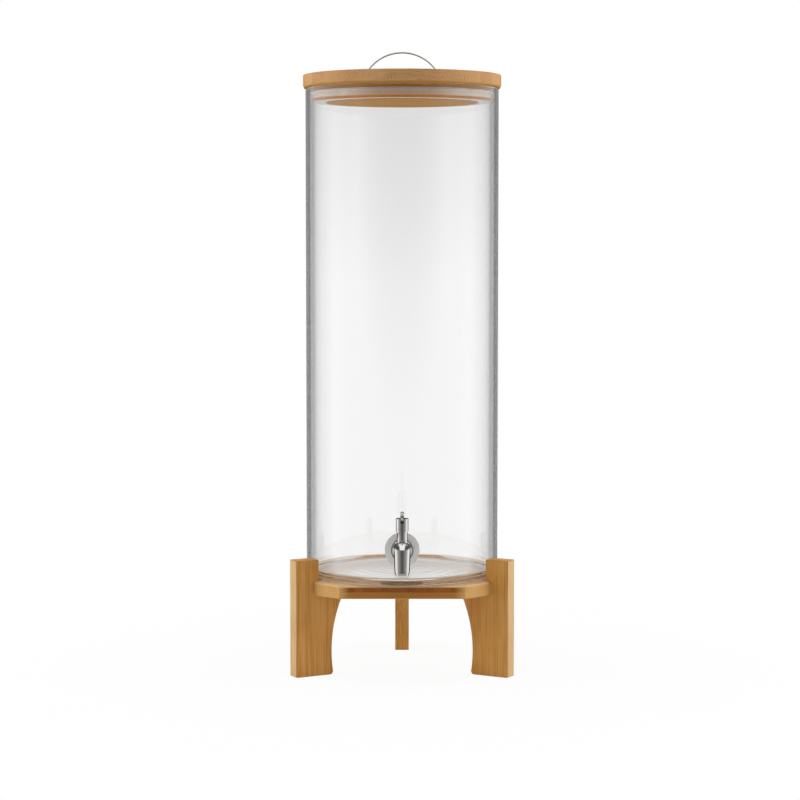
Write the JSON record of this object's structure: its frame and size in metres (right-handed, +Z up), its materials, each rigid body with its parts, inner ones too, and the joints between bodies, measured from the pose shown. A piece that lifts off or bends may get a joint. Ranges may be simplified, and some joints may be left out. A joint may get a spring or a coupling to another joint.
{
  "type": "drink dispenser with stand",
  "caption": "Tall clear glass drink dispenser on a three-legged bamboo stand, with a bamboo lid, a strap handle and a quarter-turn steel tap.",
  "frame": {"origin": "on the jar's axis, at the level the three feet stand on", "axes": "+Z up along the jar's axis; -Y towards the front, where the tap is; +X to the viewer's right"},
  "size_m": [0.233, 0.29, 0.6495],
  "materials": {
    "bamboo": "satin oiled bamboo",
    "lid_bamboo": "satin oiled bamboo",
    "clear_glass": "clear polished glass",
    "stainless_steel": "polished stainless steel",
    "silicone": "translucent pale silicone",
    "black_rubber": "matt black rubber"
  },
  "bodies": {
    "stand": {"stand_plate": "bamboo", "leg_front_left": "bamboo", "leg_front_right": "bamboo", "leg_back": "bamboo", "leg_screws": "stainless_steel"},
    "jar": {"glass_jar": "clear_glass", "tap_body": "stainless_steel", "tap_flange": "stainless_steel", "outer_gasket": "silicone", "inner_gasket": "silicone", "shank_washer": "stainless_steel", "shank_nut": "stainless_steel", "plug_set_screw": "stainless_steel"},
    "lever": {"valve_plug": "stainless_steel", "plug_o_rings": "black_rubber", "tap_cap": "stainless_steel", "cap_pin": "stainless_steel", "tap_lever": "stainless_steel", "lever_pin": "stainless_steel"},
    "lid": {"lid_board": "lid_bamboo", "lid_seal": "silicone", "lid_handle": "stainless_steel", "handle_screws": "stainless_steel"}
  },
  "joints": [
    {"name": "jar_lift", "type": "slide", "parent": "stand", "child": "jar", "axis": [0, 0, 1], "range_m": [0, 0.08]},
    {"name": "lid_lift", "type": "slide", "parent": "jar", "child": "lid", "axis": [0, 0, 1], "range_m": [0, 0.12]},
    {"name": "tap_turn", "type": "hinge", "parent": "jar", "child": "lever", "pos_m": [0, -0.121, 0.1385], "axis": [0, 0, 1], "range_deg": [0, 90]}
  ]
}
